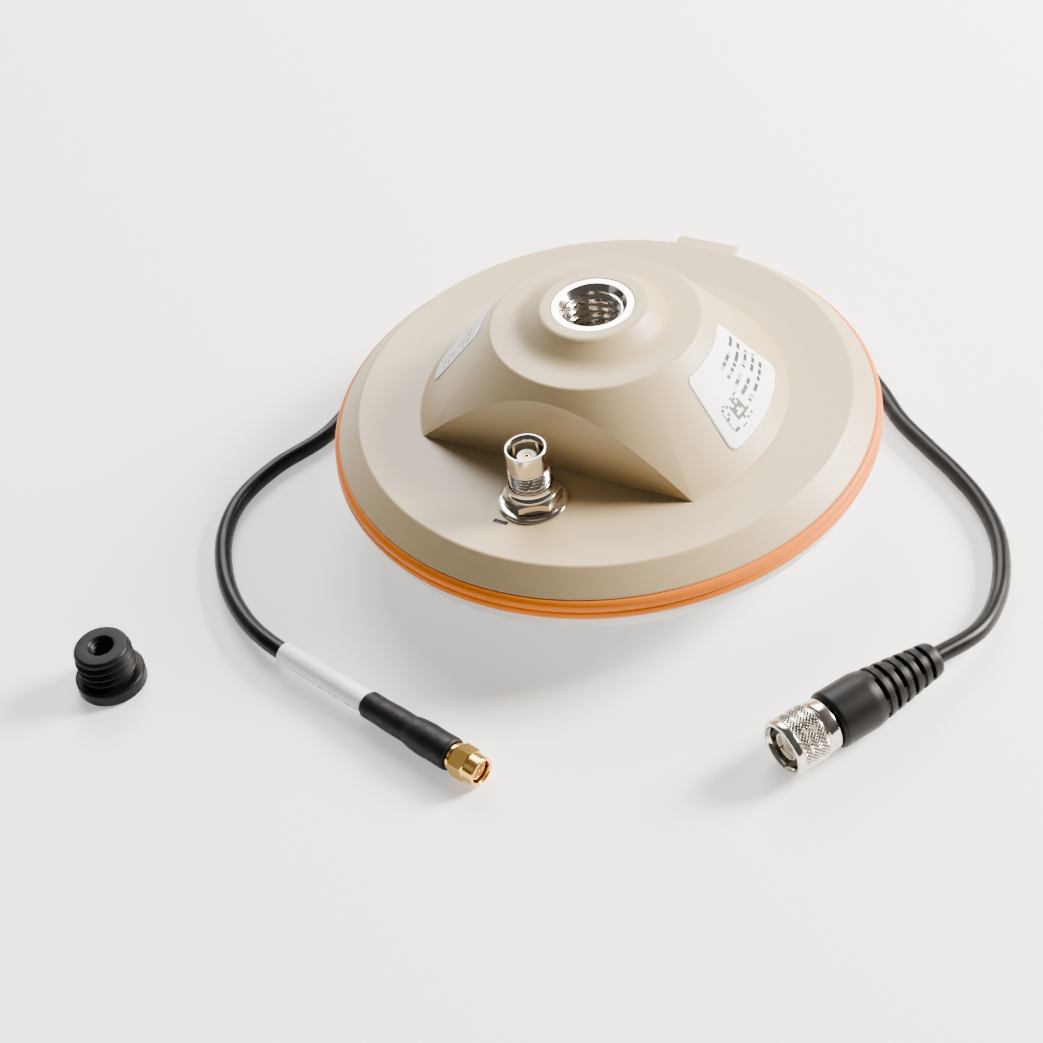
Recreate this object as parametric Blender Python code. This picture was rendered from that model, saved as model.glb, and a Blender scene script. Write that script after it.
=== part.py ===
"""Survey antenna lying dome down, with its lead and a pole-thread adapter.

Frame: +Z runs out of the mouth of the pole thread, z = 0 is the plane the dome apex rests on,
the antenna's axis is x = y = 0, the jack is on the -Y side and the tab on the +Y side.
"""
import bpy
import bmesh
import math
from mathutils import Vector, Matrix

MM = 0.001
SEG_BIG = 48
SEG_MID = 24
SEG_SMALL = 24

# ---- antenna profile, millimetres ----
DOME_FLAT_R = 13.0
DOME_RIM_R = 75.2
DOME_DEPTH = 19.9
RIM_R = 74.5
RIM_Z = 26.3
CHAMFER_R = 68.3
CHAMFER_Z = 32.3
DISC_Z = 30.4
CONE_BASE_R = 51.0
LEDGE_R = 28.4
LEDGE_Z = 56.8
BOSS_R = 14.1
TOP_Z = 62.2
CUT_Y = -31.6
PAD_Z = 30.36
JACK_Y = -44.7
JACK_TOP = 49.2
POLE_MAJOR_R = 7.94
POLE_MINOR_R = 6.75
POLE_PITCH = 2.309

# ---- lead and adapter placing, millimetres ----
TNC_FRONT = (83.8, -84.0, 7.8)
TNC_BACKWARD = (0.518, 0.8554, 0.0)
SMA_FRONT = (16.3, -114.5, 4.8)
SMA_BACKWARD = (-0.968, 0.251, 0.0)
ADAPTER_XY = (-94.4, -118.7)
CABLE_R = 2.5

# Hand-chosen points the lead passes through between its two plugs, on the table.
LEAD_ROUTE = [
    (115.8, -28.4, 5.6), (116.5, -14.2, 3.3), (114.2, -2.0, 2.6), (109.4, 9.7, 2.6),
    (101.4, 20.4, 2.6), (91.7, 29.2, 2.6), (81.2, 37.0, 2.6), (70.8, 45.0, 2.6),
    (60.5, 56.0, 2.6), (47.0, 68.5, 2.6), (30.0, 78.5, 2.6), (10.0, 84.0, 2.6),
    (-12.0, 84.5, 2.6), (-34.0, 78.0, 2.6), (-53.5, 66.5, 2.6), (-69.5, 50.0, 2.6),
    (-80.0, 30.5, 2.6), (-85.0, 8.0, 2.6), (-87.0, -14.5, 2.6), (-94.5, -32.0, 2.6),
    (-97.0, -47.5, 2.6), (-94.1, -60.4, 2.6), (-87.5, -72.0, 2.6), (-79.0, -81.6, 2.9),
    (-68.5, -89.6, 3.7), (-60.0, -94.0, 4.5),
]

SRGB = {
    "beige": ("D8CCB4", 0.55, 0.0), "orange": ("FF7A0A", 0.5, 0.0), "radome": ("D9D8D2", 0.45, 0.0),
    "nickel": ("C9C6BE", 0.28, 1.0), "chrome": ("D5D5D2", 0.18, 1.0), "gold": ("D9A94A", 0.25, 1.0),
    "ptfe": ("EFEDE6", 0.5, 0.0), "black": ("151515", 0.5, 0.0), "rubber": ("202020", 0.75, 0.0),
    "label": ("E9EDF0", 0.4, 0.0), "board": ("1F5A35", 0.5, 0.0), "ceramic": ("C9B79A", 0.6, 0.0),
    "alu": ("A9ACAE", 0.4, 1.0), "white": ("F0F0EE", 0.6, 0.0), "silicone": ("8C2B20", 0.6, 0.0),
    "anodised": ("1B1B1D", 0.4, 0.6), "brass": ("B9975A", 0.35, 1.0),
}


def linear(hex_code):
    out = []
    for i in (0, 2, 4):
        c = int(hex_code[i:i + 2], 16) / 255.0
        out.append(c / 12.92 if c <= 0.04045 else ((c + 0.055) / 1.055) ** 2.4)
    return out + [1.0]


def material(name, key):
    hex_code, rough, metal = SRGB[key]
    mat = bpy.data.materials.new(name + "_mat")
    mat.use_nodes = True
    shader = mat.node_tree.nodes["Principled BSDF"]
    shader.inputs["Base Color"].default_value = linear(hex_code)
    shader.inputs["Roughness"].default_value = rough
    shader.inputs["Metallic"].default_value = metal
    mat.diffuse_color = linear(hex_code)
    return mat


def add_object(name, bm, key, origin=(0.0, 0.0, 0.0)):
    """Turn a millimetre bmesh into a metre object with its own material."""
    shift = Vector(origin)
    for v in bm.verts:
        v.co = (v.co - shift) * MM
    bmesh.ops.recalc_face_normals(bm, faces=bm.faces[:])
    mesh = bpy.data.meshes.new(name)
    bm.to_mesh(mesh)
    bm.free()
    obj = bpy.data.objects.new(name, mesh)
    obj.location = shift * MM
    bpy.context.collection.objects.link(obj)
    if key:
        mesh.materials.append(material(name, key))
    return obj


def lathe(profile, segments, offset=(0.0, 0.0, 0.0)):
    """Closed profile of (r, z) points turned about Z; points with r = 0 sit on the axis."""
    bm = bmesh.new()
    phase = 0.5 if segments == SEG_BIG else 0.0
    rings = []
    for r, z in profile:
        if r <= 1e-9:
            rings.append([bm.verts.new((offset[0], offset[1], offset[2] + z))])
            continue
        ring = []
        for i in range(segments):
            a = 2.0 * math.pi * (i + phase) / segments
            ring.append(bm.verts.new((offset[0] + r * math.cos(a), offset[1] + r * math.sin(a),
                                      offset[2] + z)))
        rings.append(ring)
    count = len(rings)
    for k in range(count):
        a, b = rings[k], rings[(k + 1) % count]
        if len(a) == 1 and len(b) == 1:
            continue
        for i in range(segments):
            j = (i + 1) % segments
            if len(a) == 1:
                bm.faces.new((a[0], b[i], b[j]))
            elif len(b) == 1:
                bm.faces.new((a[i], b[0], a[j]))
            else:
                bm.faces.new((a[i], b[i], b[j], a[j]))
    return bm


def along(bm, front, backward):
    """Move a part made on +Z (z = distance behind its front face) onto a plug axis."""
    w = Vector(backward).normalized()
    u = Vector((0.0, 0.0, 1.0)).cross(w).normalized()
    v = w.cross(u)
    m = Matrix((u, v, w)).transposed()
    for vert in bm.verts:
        vert.co = m @ vert.co + Vector(front)
    return bm


def box(x0, x1, y0, y1, z0, z1):
    bm = bmesh.new()
    vs = [bm.verts.new((x, y, z)) for z in (z0, z1) for y in (y0, y1) for x in (x0, x1)]
    for q in ((0, 2, 3, 1), (4, 5, 7, 6), (0, 1, 5, 4), (2, 6, 7, 3), (0, 4, 6, 2), (1, 3, 7, 5)):
        bm.faces.new([vs[i] for i in q])
    return bm


def plate_with_holes(outline, holes, z0, z1, seg=12):
    """Flat board: outline points and round holes (x, y, r), filled and extruded."""
    bm = bmesh.new()
    loops = [outline]
    for x, y, r in holes:
        loops.append([(x + r * math.cos(2 * math.pi * i / seg), y + r * math.sin(2 * math.pi * i / seg))
                      for i in range(seg)])
    edges = []
    for loop in loops:
        vs = [bm.verts.new((x, y, z0)) for x, y in loop]
        for i in range(len(vs)):
            edges.append(bm.edges.new((vs[i], vs[(i + 1) % len(vs)])))
    bmesh.ops.triangle_fill(bm, edges=edges, use_beauty=True, use_dissolve=False)
    top = bmesh.ops.extrude_face_region(bm, geom=bm.faces[:])
    for item in top["geom"]:
        if isinstance(item, bmesh.types.BMVert):
            item.co.z = z1
    return bm


def cutter(obj):
    obj.hide_render = True
    obj.display_type = 'WIRE'
    return obj


def boolean(target, other, operation='DIFFERENCE'):
    mod = target.modifiers.new(other.name, 'BOOLEAN')
    mod.operation = operation
    mod.solver = 'EXACT'
    mod.object = other
    return mod


def thread_profile(major, minor, pitch, z0, turns):
    """Ring-shaped thread crests, listed from z0 upwards."""
    pts = []
    for i in range(turns):
        z = z0 + i * pitch
        pts.append((minor, z + 0.12 * pitch))
        pts.append((major, z + 0.45 * pitch))
        pts.append((major, z + 0.6 * pitch))
        pts.append((minor, z + 0.93 * pitch))
    return pts


for old in list(bpy.data.objects):
    bpy.data.objects.remove(old, do_unlink=True)

# ================= antenna shell =================
housing_outer = [
    (0.0, 22.0), (73.9, 22.0), (73.9, 26.22), (RIM_R, 26.22), (RIM_R, 26.5), (71.4, 29.6),
    (CHAMFER_R, CHAMFER_Z), (67.4, 32.35), (56.0, DISC_Z), (CONE_BASE_R, DISC_Z),
    (LEDGE_R + 0.4, LEDGE_Z - 0.5), (LEDGE_R - 0.5, LEDGE_Z + 0.1), (22.5, LEDGE_Z + 0.2),
    (19.6, 57.5), (17.4, 58.7), (15.8, 60.4), (14.9, 61.8), (BOSS_R, TOP_Z), (0.0, TOP_Z),
]
base_housing = add_object("base_housing", lathe(housing_outer, SEG_BIG), "beige")

flat_cut = cutter(add_object("flat_cut", box(-60, 60, -70, CUT_Y, PAD_Z, 80), None))
limit_profile = [(0, 29), (52.3, 29), (52.3, 90), (0, 90)]
flat_limit = cutter(add_object("flat_limit", lathe(limit_profile, SEG_BIG), None))
boolean(flat_cut, flat_limit, 'INTERSECT')
boolean(base_housing, flat_cut)

hollow_profile = [
    (0.0, 12.0), (71.8, 12.0), (71.8, 24.6), (68.4, 27.75), (49.6, 27.75), (27.2, 54.4),
    (16.2, 54.4), (16.2, 41.4), (0.0, 41.4),
]
hollow = cutter(add_object("hollow", lathe(hollow_profile, SEG_BIG), None))
hollow_limit = cutter(add_object("hollow_limit", box(-60, 60, -60, CUT_Y + 2.6, 27.8, 80), None))
boolean(hollow, hollow_limit)
boolean(base_housing, hollow)

bore_profile = [(0, 43.8), (11.5, 43.8), (11.5, 70), (0, 70)]
pole_bore = cutter(add_object("pole_bore", lathe(bore_profile, SEG_MID), None))
boolean(base_housing, pole_bore)
jack_hole = cutter(add_object("jack_hole", lathe([(0, 20), (5.9, 20), (5.9, 40), (0, 40)], SEG_SMALL,
                                                 (0, JACK_Y, 0)), None))
boolean(base_housing, jack_hole)
mark_slot = cutter(add_object("mark_slot", box(-6.6, -2.6, -55.75, -54.35, 29.4, 33.0), None))
boolean(base_housing, mark_slot)
tab_block = cutter(add_object("tab_block", box(-9.4, 9.4, 66.5, 76.6, 26.35, 28.4), None))
tab_ease = tab_block.modifiers.new("ease", 'BEVEL')
tab_ease.width = 0.5 * MM
tab_ease.segments = 1
boolean(base_housing, tab_block, 'UNION')

vent_mark = add_object("vent_mark", box(-6.4, -2.8, -55.6, -54.5, 29.55, 30.3), "rubber")

dome_outer = []
for i in range(10):
    t = math.radians(90.0 * i / 9.0)
    dome_r = DOME_FLAT_R + (DOME_RIM_R - DOME_FLAT_R) * math.sin(t)
    dome_outer.append((dome_r, DOME_DEPTH * (1 - math.cos(t))))
dome_inner = []
for i in range(6):
    t = math.radians(84.0 * (5 - i) / 5.0)
    dome_r = DOME_FLAT_R + 59.2 * math.sin(t) - 2.4
    dome_inner.append((dome_r, 2.4 + (DOME_DEPTH - 1.6) * (1 - math.cos(t))))
radome_profile = [(0.0, 0.0)] + dome_outer
radome_profile += [(71.5, DOME_DEPTH), (71.5, 24.0), (69.4, 24.0)] + dome_inner + [(0.0, 2.4)]
add_object("radome", lathe(radome_profile, SEG_BIG), "radome")

band_profile = [
    (74.15, 20.15), (75.5, 20.15), (76.2, 20.8), (76.5, 21.7), (76.25, 22.6), (75.75, 23.1),
    (76.15, 23.6), (76.25, 24.5), (75.9, 25.4), (75.2, 26.0), (74.15, 26.0),
]
add_object("rim_band", lathe(band_profile, SEG_BIG), "orange")
seal_profile = [(72.8 + 0.8 * math.cos(math.radians(60 * i)), 20.98 + 0.8 * math.sin(math.radians(60 * i)))
                for i in range(6)]
add_object("base_seal", lathe(seal_profile, SEG_BIG), "rubber")

# ================= pole thread insert =================
insert_profile = [(0.0, 44.0), (11.3, 44.0), (11.3, 61.75), (10.95, TOP_Z - 0.1), (8.85, TOP_Z - 0.1)]
insert_threads = thread_profile(POLE_MAJOR_R, POLE_MINOR_R, POLE_PITCH, 51.8, 4)
insert_profile += list(reversed(insert_threads))
insert_profile += [(POLE_MINOR_R, 45.6), (0.0, 45.6)]
add_object("thread_insert", lathe(insert_profile, SEG_MID), "nickel")

# ================= jack on the base =================
JACK = (0.0, JACK_Y, 0.0)
jack_profile = [(1.3, 24.6), (7.6, 24.6), (7.6, 26.7), (5.0, 26.9), (5.0, 30.9), (5.5, 31.4), (5.5, 38.1)]
for i in range(4):
    z = 38.1 + 1.0 * i
    jack_profile += [(5.0, z + 0.3), (5.0, z + 0.5), (5.5, z + 0.8), (5.5, z + 1.0)]
jack_profile += [
    (5.5, JACK_TOP - 0.3), (5.2, JACK_TOP), (4.85, JACK_TOP), (4.1, JACK_TOP - 1.6), (4.05, 40.0),
    (2.7, 40.0), (2.7, 33.0), (1.3, 33.0),
]
add_object("jack_body", lathe(jack_profile, SEG_SMALL, JACK), "nickel")
seal_ring = [(6.1, 26.95), (7.9, 26.95), (7.9, 27.55), (6.1, 27.55)]
add_object("jack_seal", lathe(seal_ring, SEG_SMALL, JACK), "rubber")
add_object("jack_washer", lathe([(5.75, 30.45), (9.5, 30.45), (9.5, 31.15), (9.2, 31.4), (5.75, 31.4)],
                                SEG_MID, JACK), "nickel")


def hex_nut(half_flat, bore, z0, z1, chamfer, offset, collar=()):
    """Six-sided nut with turned corners, a round bore and, if given, a round collar on top."""
    bm = bmesh.new()
    corner = half_flat / math.cos(math.radians(30))
    levels = [(z0, corner), (z1 - chamfer, corner), (z1, half_flat)] + list(collar)
    z1 = levels[-1][0]
    outer = []
    for z, r in levels:
        ring = []
        for i in range(24):
            a = 2 * math.pi * i / 24
            reach = half_flat / math.cos(((a + math.pi / 6) % (math.pi / 3)) - math.pi / 6)
            rr = min(reach, r)
            ring.append(bm.verts.new((offset[0] + rr * math.cos(a), offset[1] + rr * math.sin(a), z)))
        outer.append(ring)
    inner = [[bm.verts.new((offset[0] + bore * math.cos(2 * math.pi * i / 24),
                            offset[1] + bore * math.sin(2 * math.pi * i / 24), z))
              for i in range(24)] for z in (z1, z0)]
    rings = outer + inner
    for k in range(len(rings)):
        a, b = rings[k], rings[(k + 1) % len(rings)]
        for i in range(24):
            bm.faces.new((a[i], b[i], b[(i + 1) % 24], a[(i + 1) % 24]))
    return bm


add_object("jack_nut", hex_nut(7.0, 5.75, 31.6, 34.8, 0.5, JACK, [(34.81, 6.7), (35.5, 6.6), (37.3, 6.0)]), "nickel")
add_object("jack_insulator", lathe([(1.15, 33.2), (2.5, 33.2), (2.5, 46.3), (2.3, 46.5), (1.15, 46.5)],
                                   SEG_SMALL, JACK), "ptfe")
contact_profile = [(0.0, 22.6), (0.9, 22.6), (0.9, 46.1), (0.72, 46.3), (0.5, 46.3), (0.5, 42.0), (0.0, 42.0)]
add_object("jack_contact", lathe(contact_profile, 16, JACK), "gold")
add_object("jack_pigtail", lathe([(0.0, 17.2), (1.6, 17.2), (1.6, 22.3), (0.0, 22.3)], 16, JACK), "rubber")

# ================= labels on the cone =================


def cone_label(a0, a1, z0, z1, gap, thick, step=7.5):
    """Sector sheet lying on the cone between two angles and two heights, corners cut."""
    slope = (CONE_BASE_R - (LEDGE_R + 0.4)) / (LEDGE_Z - 0.5 - DISC_Z)
    nr, nz = 1 / math.hypot(1, slope), slope / math.hypot(1, slope)
    bm = bmesh.new()
    cols = []
    angles = [a0 + step * i for i in range(int(round((a1 - a0) / step)) + 1)]
    for n, deg in enumerate(angles):
        end = n in (0, len(angles) - 1)
        lo, hi = (z0 + 1.2, z1 - 1.2) if end else (z0, z1)
        col = []
        for off in (gap, gap + thick):
            for z in (lo, hi):
                r = CONE_BASE_R - (z - DISC_Z) * slope + off * nr
                a = math.radians(deg)
                col.append(bm.verts.new((r * math.cos(a), r * math.sin(a), z + off * nz)))
        cols.append(col)
    for p, q in zip(cols, cols[1:]):
        bm.faces.new((p[2], q[2], q[3], p[3]))
        bm.faces.new((p[0], p[1], q[1], q[0]))
        bm.faces.new((p[0], q[0], q[2], p[2]))
        bm.faces.new((p[1], p[3], q[3], q[1]))
    first, last = cols[0], cols[-1]
    bm.faces.new((first[0], first[2], first[3], first[1]))
    bm.faces.new((last[0], last[1], last[3], last[2]))
    return bm


add_object("label_right", cone_label(-18.75, 26.25, 34.6, 52.6, 0.06, 0.22), "label")
add_object("label_left", cone_label(161.25, 198.75, 34.6, 52.6, 0.06, 0.22), "label")

# ================= electronics under the dome =================
POSTS = [(38.2, 38.2), (-38.2, 38.2), (-38.2, -38.2), (38.2, -38.2)]
circle = [(60 * math.cos(2 * math.pi * i / 48), 60 * math.sin(2 * math.pi * i / 48)) for i in range(48)]
plane_holes = [(x, y, 1.7) for x, y in POSTS] + [(0, 0, 1.7)]
add_object("ground_plane", plate_with_holes(circle, plane_holes, 13.6, 14.8), "alu")
square = [(-30, -30), (30, -30), (30, 30), (-30, 30)]
add_object("patch_lower", plate_with_holes(square, [(0, 0, 1.7)], 9.2, 13.3), "ceramic")
square = [(-18, -18), (18, -18), (18, 18), (-18, 18)]
add_object("patch_upper", plate_with_holes(square, [(0, 0, 1.7)], 4.9, 8.9), "ceramic")
screw_profile = [(0, 3.2), (2.8, 3.2), (2.8, 4.6), (1.4, 4.6), (1.4, 14.9), (0, 14.9)]
add_object("patch_screw", lathe(screw_profile, 12), "brass")
board = [(-33, -50), (33, -50), (33, 30), (-33, 30)]
add_object("lna_board", plate_with_holes(board, [], 15.3, 16.9), "board")
add_object("shield_can", box(-22, 22, -20, 16, 17.2, 23.0), "alu")
post_profile = [(0, 27.4), (3.2, 27.4), (3.2, 15.1), (1.6, 15.1), (1.6, 22.0), (0, 22.0)]
fixing_profile = [(0, 11.6), (2.6, 11.6), (2.8, 13.3), (1.3, 13.3), (1.3, 21.0), (0, 21.0)]
for n, (x, y) in enumerate(POSTS, 1):
    add_object("standoff_%d" % n, lathe(post_profile, 12, (x, y, 0)), "brass")
    add_object("standoff_screw_%d" % n, lathe(fixing_profile, 12, (x, y, 0)), "nickel")

# ================= lead: threaded plug end =================


def plug(name, profile, key, front, backward, segments=SEG_SMALL):
    return add_object(name, along(lathe(profile, segments), front, backward), key, front)


plug("tnc_nut", [(6.2, 0.0), (7.2, 0.0), (7.6, 0.5), (7.6, 1.9), (7.4, 2.2), (7.4, 9.6), (6.7, 10.0),
                 (6.9, 10.4), (6.9, 13.8), (4.9, 13.8), (4.9, 7.6), (5.85, 7.6), (5.85, 0.4)], "chrome",
     TNC_FRONT, TNC_BACKWARD, SEG_MID)
plug("tnc_body", [(3.2, 1.4), (3.75, 1.4), (3.9, 1.9), (3.9, 5.2), (5.6, 5.2), (5.6, 7.3), (4.6, 7.3),
                  (4.6, 19.0), (4.1, 19.3), (4.1, 26.2), (2.9, 26.2), (2.9, 19.0), (1.4, 19.0), (1.4, 12.4),
                  (3.2, 12.4)], "nickel", TNC_FRONT, TNC_BACKWARD)
tnc_core = [(0.85, 6.0), (2.35, 6.0), (2.35, 2.4), (3.05, 2.4), (3.05, 12.2), (0.85, 12.2)]
plug("tnc_insulator", tnc_core, "ptfe", TNC_FRONT, TNC_BACKWARD)
plug("tnc_pin", [(0.0, 2.0), (0.3, 2.0), (0.69, 3.2), (0.69, 18.0), (0.0, 18.0)], "gold", TNC_FRONT,
     TNC_BACKWARD, 12)
plug("tnc_gasket", [(4.05, 4.0), (5.5, 4.0), (5.5, 4.95), (4.05, 4.95)], "silicone", TNC_FRONT, TNC_BACKWARD)
boot = [(4.8, 14.4), (7.4, 14.4), (7.75, 14.9), (7.75, 25.5), (7.3, 26.4)]
for i in range(5):
    w = 27.6 + i * 3.9
    r = 7.3 - 0.62 * i
    boot += [(r - 1.1, w), (r - 1.1, w + 1.0), (r, w + 1.1), (r - 0.35, w + 3.7)]
boot += [(4.3, 47.2), (4.2, 48.3), (2.6, 48.3), (2.6, 26.6), (4.8, 26.6)]
plug("tnc_boot", boot, "rubber", TNC_FRONT, TNC_BACKWARD)

# ================= lead: small gold plug end =================
small_nut = hex_nut(4.0, 3.25, 3.4, 8.2, 0.4, (0, 0, 0))
sma_nut = add_object("sma_nut", along(small_nut, SMA_FRONT, SMA_BACKWARD), "gold", SMA_FRONT)
nose_profile = [(3.25, 0.0), (3.75, 0.0), (3.95, 0.3), (3.95, 5.0), (3.25, 5.0)]
nose = add_object("sma_nose", along(lathe(nose_profile, 24), SMA_FRONT, SMA_BACKWARD), None, SMA_FRONT)
boolean(sma_nut, cutter(nose), 'UNION')
plug("sma_body", [(2.1, 1.2), (2.45, 1.2), (2.45, 4.4), (3.0, 4.4), (3.0, 8.5), (3.7, 8.5), (3.7, 9.4),
                  (2.7, 9.4), (2.7, 17.6), (1.1, 17.6), (1.1, 6.8), (2.1, 6.8)], "gold", SMA_FRONT,
     SMA_BACKWARD)
plug("sma_insulator", [(0.6, 2.4), (1.95, 2.4), (1.95, 6.6), (0.6, 6.6)], "ptfe", SMA_FRONT, SMA_BACKWARD, 16)
plug("sma_pin", [(0.0, 0.7), (0.2, 0.7), (0.46, 1.2), (0.46, 16.0), (0.0, 16.0)], "gold", SMA_FRONT,
     SMA_BACKWARD, 12)
plug("sma_sleeve", [(3.0, 9.7), (4.3, 9.7), (4.5, 10.2), (4.5, 23.0), (3.9, 25.0), (3.7, 39.2), (2.6, 39.2),
                    (2.6, 18.0), (3.0, 18.0)], "rubber", SMA_FRONT, SMA_BACKWARD)
plug("marker_sleeve", [(2.6, 40.2), (3.1, 40.2), (3.1, 70.8), (2.6, 70.8)], "white", SMA_FRONT, SMA_BACKWARD)

# ================= lead: cable =================


def on_axis(front, backward, w):
    return tuple(f + b * w for f, b in zip(front, backward))


def smooth(points, per):
    """Centripetal spline through the route points."""
    pts = [Vector(p) for p in points]
    pts = [2 * pts[0] - pts[1]] + pts + [2 * pts[-1] - pts[-2]]
    out = []
    for i in range(1, len(pts) - 2):
        p = pts[i - 1:i + 3]
        t = [0.0]
        for a, b in zip(p, p[1:]):
            t.append(t[-1] + max((b - a).length, 1e-6) ** 0.5)
        for s in range(per):
            u = t[1] + (t[2] - t[1]) * s / per
            a1 = p[0] * ((t[1] - u) / (t[1] - t[0])) + p[1] * ((u - t[0]) / (t[1] - t[0]))
            a2 = p[1] * ((t[2] - u) / (t[2] - t[1])) + p[2] * ((u - t[1]) / (t[2] - t[1]))
            a3 = p[2] * ((t[3] - u) / (t[3] - t[2])) + p[3] * ((u - t[2]) / (t[3] - t[2]))
            b1 = a1 * ((t[2] - u) / (t[2] - t[0])) + a2 * ((u - t[0]) / (t[2] - t[0]))
            b2 = a2 * ((t[3] - u) / (t[3] - t[1])) + a3 * ((u - t[1]) / (t[3] - t[1]))
            out.append(b1 * ((t[2] - u) / (t[2] - t[1])) + b2 * ((u - t[1]) / (t[2] - t[1])))
    out.append(pts[-2])
    return out


start = [on_axis(TNC_FRONT, TNC_BACKWARD, w) for w in (28.0, 48.0)]
end = [on_axis(SMA_FRONT, SMA_BACKWARD, w) for w in (71.5, 19.0)]
centre = [Vector(start[0])] + smooth([start[1]] + LEAD_ROUTE + [end[0]], 3) + [Vector(end[1])]
curve = bpy.data.curves.new("lead_cable", 'CURVE')
curve.dimensions = '3D'
spline = curve.splines.new('POLY')
spline.points.add(len(centre) - 1)
for point, co in zip(spline.points, centre):
    point.co = (co.x * MM, co.y * MM, co.z * MM, 1.0)
curve.bevel_depth = CABLE_R * MM
curve.bevel_resolution = 2
curve.use_fill_caps = True
curve.render_resolution_u = 0
cable = bpy.data.objects.new("lead_cable", curve)
bpy.context.collection.objects.link(cable)
curve.materials.append(material("lead_cable", "rubber"))

# ================= loose thread adapter =================
adapter = [(9.2, 0.25), (9.5, 0.6), (9.5, 4.2), (9.1, 4.6), (6.6, 4.6), (6.6, 5.6)]
adapter += thread_profile(7.9, 6.75, POLE_PITCH, 5.4, 3)
adapter += [(6.9, 12.9), (7.8, 13.2), (7.8, 13.7), (6.9, 14.5)]
adapter += [(3.4, 14.5), (3.1, 14.1), (3.1, 0.6), (3.4, 0.25)]
add_object("thread_adapter", lathe(adapter, SEG_MID, (ADAPTER_XY[0], ADAPTER_XY[1], 0)), "anodised",
           (ADAPTER_XY[0], ADAPTER_XY[1], 0))
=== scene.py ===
"""Survey antenna lying dome down, with its lead and its thread adapter, on a pale table."""
import bpy
import bmesh
import math
from mathutils import Matrix, Vector


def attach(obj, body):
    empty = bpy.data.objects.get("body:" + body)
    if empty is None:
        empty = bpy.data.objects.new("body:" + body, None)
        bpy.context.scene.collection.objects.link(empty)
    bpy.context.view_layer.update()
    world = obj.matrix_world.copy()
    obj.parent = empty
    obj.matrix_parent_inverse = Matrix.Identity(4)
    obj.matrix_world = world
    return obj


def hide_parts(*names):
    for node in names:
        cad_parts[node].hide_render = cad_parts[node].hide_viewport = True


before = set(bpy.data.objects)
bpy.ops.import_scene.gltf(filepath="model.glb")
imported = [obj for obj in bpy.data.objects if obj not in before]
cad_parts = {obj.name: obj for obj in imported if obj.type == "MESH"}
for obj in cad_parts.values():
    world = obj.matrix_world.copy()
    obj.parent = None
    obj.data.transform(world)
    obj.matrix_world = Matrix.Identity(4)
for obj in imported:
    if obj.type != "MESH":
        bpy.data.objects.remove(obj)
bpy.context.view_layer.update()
MM = 0.001

# ---------------------------------------------------------------- table, light and camera
# A white paper sweep under a large soft lamp behind and to the right, with a weak fill in front.
# The lens looks down on the base from the jack side, leaning a little to the left.


def srgb(code):
    """Turns an sRGB hex value to the linear colour that Blender takes."""
    out = []
    for i in (0, 2, 4):
        c = int(code[i:i + 2], 16) / 255.0
        out.append(c / 12.92 if c <= 0.04045 else ((c + 0.055) / 1.055) ** 2.4)
    return tuple(out) + (1.0,)


def add(tree, kind, wires=None, **settings):
    """Adds one node; wires maps an input to a value or to another node's socket."""
    made = tree.nodes.new(kind)
    for key, value in settings.items():
        setattr(made, key, value)
    for key, value in (wires or {}).items():
        if isinstance(value, bpy.types.NodeSocket):
            tree.links.new(value, made.inputs[key])
        else:
            made.inputs[key].default_value = value
    return made


def new_finish(name, look):
    """Makes a material and gives its shader the plain values in look."""
    mat = bpy.data.materials.new(name)
    mat.use_nodes = True
    shader = mat.node_tree.nodes["Principled BSDF"]
    for key, value in look.items():
        shader.inputs[key].default_value = value
    return mat, mat.node_tree, shader


def as_object(bm, name):
    """Ends a bmesh and puts it in the scene as an object."""
    mesh = bpy.data.meshes.new(name)
    bm.to_mesh(mesh)
    bm.free()
    obj = bpy.data.objects.new(name, mesh)
    bpy.context.collection.objects.link(obj)
    return obj


# Matt paper, white: no shine, and it glows a little, so that it stays pale outside the lamp light.
paper, tree, shader = new_finish("matt_white_paper", {
    "Base Color": srgb("FAFAFA"), "Roughness": 0.85, "Specular IOR Level": 0.2,
    "Emission Color": srgb("FFFFFF"), "Emission Strength": 0.5})
bm = bmesh.new()
sweep_width = 3.5
sweep_rows = [(-3.0, 0.0), (1.6, 0.0), (1.9, 0.03), (2.1, 0.12), (2.25, 0.3), (2.3, 0.6), (2.3, 3.0)]
rows = [[bm.verts.new((x, y, z)) for x in (-sweep_width, sweep_width)] for y, z in sweep_rows]
for low, high in zip(rows, rows[1:]):
    bm.faces.new((low[0], low[1], high[1], high[0]))
sweep = as_object(bm, "paper_sweep")
for face in sweep.data.polygons:
    face.use_smooth = True
sweep.data.materials.append(paper)
AZIMUTH, ELEVATION, LEAN = math.radians(32.4), math.radians(43.61), math.radians(-9.17)
sweep.rotation_euler = (0.0, 0.0, AZIMUTH)

back = Vector((math.sin(AZIMUTH) * math.cos(ELEVATION), -math.cos(AZIMUTH) * math.cos(ELEVATION),
               math.sin(ELEVATION)))
level = Vector((math.cos(AZIMUTH), math.sin(AZIMUTH), 0.0))
rise = back.cross(level)
right = math.cos(LEAN) * level + math.sin(LEAN) * rise
up = math.cos(LEAN) * rise - math.sin(LEAN) * level
lens = bpy.data.cameras.new("camera")
lens.sensor_width = 36.0
lens.lens = 72.5
lens.clip_start = 0.01
camera = bpy.data.objects.new("camera", lens)
aimed = Matrix((right, up, back)).transposed().to_4x4()
camera.matrix_world = Matrix.Translation((0.2134, -0.3884, 0.4088)) @ aimed
bpy.context.collection.objects.link(camera)
bpy.context.scene.camera = camera


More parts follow.
